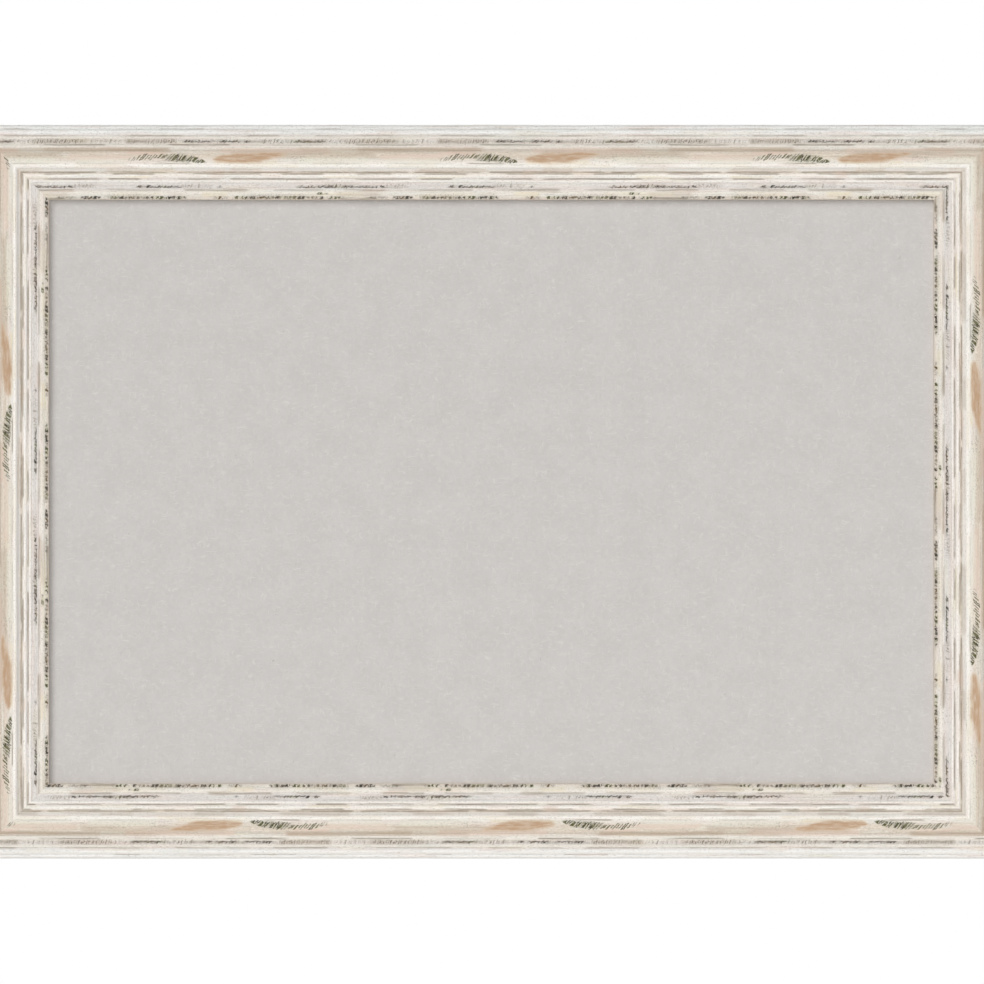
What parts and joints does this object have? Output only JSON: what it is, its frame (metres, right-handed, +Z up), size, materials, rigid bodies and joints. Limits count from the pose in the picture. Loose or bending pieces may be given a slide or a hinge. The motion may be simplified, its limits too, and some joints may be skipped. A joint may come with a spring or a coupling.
{
  "type": "framed cork board",
  "caption": "Wall-hung cork pinning board in a wide mitred and beaded moulding with a worn whitewashed finish, with swinging D-ring hangers on its back.",
  "frame": {"origin": "centre of the board's outline in the wall plane that the bumpers rest on", "axes": "+X to the viewer's right along the board's width, +Z up along its height, +Y into the wall; the front faces -Y"},
  "size_m": [0.6978, 0.0289, 0.4948],
  "materials": {
    "whitewashed_wood": "matt whitewash, worn through to tan and dark wood along the beads",
    "grey_cork": "matt light grey cork with fine light and dark flecks",
    "fibreboard": "raw brown fibreboard",
    "fastener_steel": "plain dull steel",
    "plated_steel": "bright zinc plated steel",
    "soft_rubber": "satin off-white rubber"
  },
  "bodies": {
    "board": {"rail_top": "whitewashed_wood", "rail_right": "whitewashed_wood", "rail_bottom": "whitewashed_wood", "rail_left": "whitewashed_wood", "point_top_1": "fastener_steel", "point_top_2": "fastener_steel", "point_top_3": "fastener_steel", "point_top_4": "fastener_steel", "point_top_5": "fastener_steel", "point_right_1": "fastener_steel", "point_right_2": "fastener_steel", "point_right_3": "fastener_steel", "point_bottom_1": "fastener_steel", "point_bottom_2": "fastener_steel", "point_bottom_3": "fastener_steel", "point_bottom_4": "fastener_steel", "point_bottom_5": "fastener_steel", "point_left_1": "fastener_steel", "point_left_2": "fastener_steel", "point_left_3": "fastener_steel", "v_nail_top_right_inner": "fastener_steel", "v_nail_top_right_outer": "fastener_steel", "v_nail_bottom_right_inner": "fastener_steel", "v_nail_bottom_right_outer": "fastener_steel", "v_nail_bottom_left_inner": "fastener_steel", "v_nail_bottom_left_outer": "fastener_steel", "v_nail_top_left_inner": "fastener_steel", "v_nail_top_left_outer": "fastener_steel", "cork_sheet": "grey_cork", "backing_board": "fibreboard", "hanger_strap_left": "plated_steel", "hanger_screw_left_upper": "plated_steel", "hanger_screw_left_lower": "plated_steel", "wall_bumper_left": "soft_rubber", "hanger_strap_right": "plated_steel", "hanger_screw_right_upper": "plated_steel", "hanger_screw_right_lower": "plated_steel", "wall_bumper_right": "soft_rubber"},
    "ring_left": {"hanger_ring_left": "plated_steel"},
    "ring_right": {"hanger_ring_right": "plated_steel"}
  },
  "joints": [
    {"name": "ring_left_swing", "type": "hinge", "parent": "board", "child": "ring_left", "pos_m": [-0.32767, -0.00255, 0.12367], "axis": [1, 0, 0], "range_deg": [0, 185]},
    {"name": "ring_right_swing", "type": "hinge", "parent": "board", "child": "ring_right", "pos_m": [0.32767, -0.00255, 0.12367], "axis": [1, 0, 0], "range_deg": [0, 185]}
  ]
}
